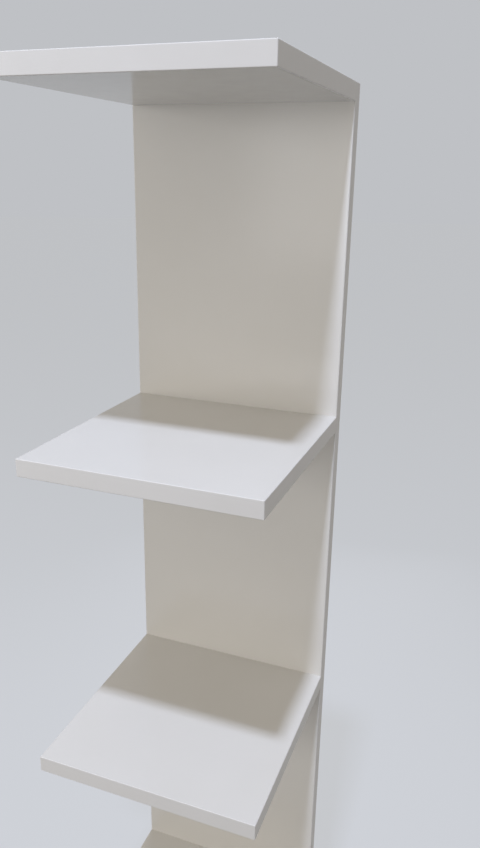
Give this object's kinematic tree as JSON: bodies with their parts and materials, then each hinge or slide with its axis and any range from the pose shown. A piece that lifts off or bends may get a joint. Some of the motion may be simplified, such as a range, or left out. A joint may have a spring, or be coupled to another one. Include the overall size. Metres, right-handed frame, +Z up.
{
  "type": "shelving unit",
  "caption": "Tall white column shelf: a full-height back panel with evenly spaced square shelves butted to its front, open on three sides, tied to the wall by keyhole hangers.",
  "frame": {"origin": "on the floor, under the middle of the whole unit's footprint", "axes": "+Z up along the panel, the open front faces -Y, +X to the right as seen from the front"},
  "size_m": [0.3, 0.322, 1.7],
  "materials": {
    "faced_board": "satin",
    "edging": "satin",
    "shelf_screw": "satin",
    "dowel": "matte",
    "glide": "satin",
    "hanger_plate": "satin",
    "hanger_screw": "satin"
  },
  "bodies": {
    "root": {"back_panel_board": "faced_board", "back_panel_band_left": "edging", "back_panel_band_right": "edging", "back_panel_band_top": "edging", "back_panel_band_bottom": "edging", "shelf_1_board": "faced_board", "shelf_1_band_front": "edging", "shelf_1_band_left": "edging", "shelf_1_band_right": "edging", "shelf_1_screw_left": "shelf_screw", "shelf_1_screw_right": "shelf_screw", "shelf_1_dowel_left": "dowel", "shelf_1_dowel_right": "dowel", "shelf_2_board": "faced_board", "shelf_2_band_front": "edging", "shelf_2_band_left": "edging", "shelf_2_band_right": "edging", "shelf_2_screw_left": "shelf_screw", "shelf_2_screw_right": "shelf_screw", "shelf_2_dowel_left": "dowel", "shelf_2_dowel_right": "dowel", "shelf_3_board": "faced_board", "shelf_3_band_front": "edging", "shelf_3_band_left": "edging", "shelf_3_band_right": "edging", "shelf_3_screw_left": "shelf_screw", "shelf_3_screw_right": "shelf_screw", "shelf_3_dowel_left": "dowel", "shelf_3_dowel_right": "dowel", "shelf_4_board": "faced_board", "shelf_4_band_front": "edging", "shelf_4_band_left": "edging", "shelf_4_band_right": "edging", "shelf_4_screw_left": "shelf_screw", "shelf_4_screw_right": "shelf_screw", "shelf_4_dowel_left": "dowel", "shelf_4_dowel_right": "dowel", "shelf_5_board": "faced_board", "shelf_5_band_front": "edging", "shelf_5_band_left": "edging", "shelf_5_band_right": "edging", "shelf_5_screw_left": "shelf_screw", "shelf_5_screw_right": "shelf_screw", "shelf_5_dowel_left": "dowel", "shelf_5_dowel_right": "dowel", "glide_front_left": "glide", "glide_front_right": "glide", "glide_rear_left": "glide", "glide_rear_right": "glide", "hanger_plate_left": "hanger_plate", "hanger_plate_right": "hanger_plate", "hanger_screw_left_lower": "hanger_screw", "hanger_screw_left_upper": "hanger_screw", "hanger_screw_right_lower": "hanger_screw", "hanger_screw_right_upper": "hanger_screw"}
  },
  "joints": []
}
